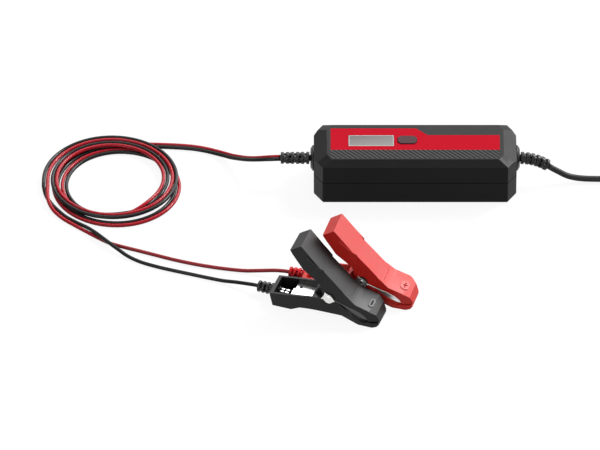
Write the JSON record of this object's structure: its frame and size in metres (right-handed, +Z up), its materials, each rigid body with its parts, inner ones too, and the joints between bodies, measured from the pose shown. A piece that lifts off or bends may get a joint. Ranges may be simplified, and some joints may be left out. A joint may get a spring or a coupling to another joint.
{
  "type": "car battery charger",
  "caption": "Smart battery charger: bevelled two-shell case with display and button, coiled twin lead ending in two spring clamps, and a mains lead wound up behind its plug.",
  "frame": {"origin": "centre of the case's underside, on the floor", "axes": "+X along the case towards the mains lead, -Y towards the clamps, +Z up"},
  "size_m": [0.6164, 0.262, 0.0733],
  "materials": {
    "case": "fine texture",
    "seal": "matt",
    "screw": "zinc plated",
    "panel_red": "satin film",
    "band": "woven pattern under film",
    "window": "clear, slightly grey",
    "lcd": "blank display",
    "board": "solder mask",
    "button": "satin",
    "switch": "matt",
    "plunger": "matt",
    "ribbon": "matt",
    "ferrite": "sintered",
    "winding": "taped",
    "capacitor": "shrink sleeve",
    "package": "moulded",
    "choke": "enamelled wire",
    "heatsink": "extruded",
    "fuse": "ceramic",
    "rubber_black": "matt",
    "nut": "matt",
    "wires": "PVC",
    "lead_red": "smooth PVC",
    "lead_black": "smooth PVC",
    "mains_black": "smooth PVC",
    "tie": "hook and loop strap",
    "plug": "moulded PVC",
    "contacts": "nickel plated",
    "clamp_black": "satin",
    "clamp_red": "satin",
    "rubber_red": "matt",
    "steel": "zinc plated",
    "pin": "plated",
    "spring": "spring wire"
  },
  "bodies": {
    "charger": {"base_shell": "case", "top_shell": "case", "case_seal": "seal", "case_screws": "screw", "face_label": "panel_red", "patterned_band": "band", "display_window": "window", "lcd_module": "lcd", "display_board": "board", "display_screws": "screw", "tact_switch": "switch", "main_board": "board", "board_screws": "screw", "ribbon_cable": "ribbon", "transformer_core": "ferrite", "transformer_winding": "winding", "mains_capacitor": "capacitor", "output_capacitors": "capacitor", "bridge_rectifier": "package", "filter_choke": "choke", "heatsink": "heatsink", "power_transistors": "package", "fuse": "fuse", "dc_gland": "rubber_black", "mains_gland": "rubber_black", "gland_nuts": "nut", "dc_strain_relief": "rubber_black", "mains_strain_relief": "rubber_black", "inner_wires": "wires", "dc_lead_red": "lead_red", "dc_lead_black": "lead_black", "dc_coil_red": "lead_red", "dc_coil_black": "lead_black", "red_tail": "lead_red", "black_tail": "lead_black", "mains_lead": "mains_black", "mains_coil": "mains_black", "mains_end": "mains_black", "coil_tie": "tie", "plug_body": "plug", "plug_pins": "contacts", "black_lower_handle": "clamp_black", "black_lower_jaw": "steel", "black_pivot_pin": "pin", "black_spring": "spring", "black_crimp": "steel", "black_boot": "rubber_black", "red_lower_handle": "clamp_red", "red_lower_jaw": "steel", "red_pivot_pin": "pin", "red_spring": "spring", "red_crimp": "steel", "red_boot": "rubber_red"},
    "button": {"mode_button": "button", "switch_plunger": "plunger"},
    "black_clamp_top": {"black_upper_handle": "clamp_black", "black_upper_jaw": "steel"},
    "red_clamp_top": {"red_upper_handle": "clamp_red", "red_upper_jaw": "steel"}
  },
  "joints": [
    {"name": "mode_button_press", "type": "slide", "parent": "charger", "child": "button", "axis": [0, 0, -1], "range_m": [0, 0.0008], "stiffness_N_per_m": 500},
    {"name": "black_clamp_hinge", "type": "hinge", "parent": "charger", "child": "black_clamp_top", "pos_m": [-0.07345, -0.17769, 0.0212], "axis": [-0.3338, -0.9426, 0], "range_deg": [0, 30], "stiffness_Nm_per_rad": 0.8, "springref_deg": -34.38, "deforming": ["black_spring"]},
    {"name": "red_clamp_hinge", "type": "hinge", "parent": "charger", "child": "red_clamp_top", "pos_m": [-0.04512, -0.15513, 0.0212], "axis": [-0.284, -0.9588, 0], "range_deg": [0, 30], "stiffness_Nm_per_rad": 0.8, "springref_deg": -34.38, "deforming": ["red_spring"]}
  ]
}
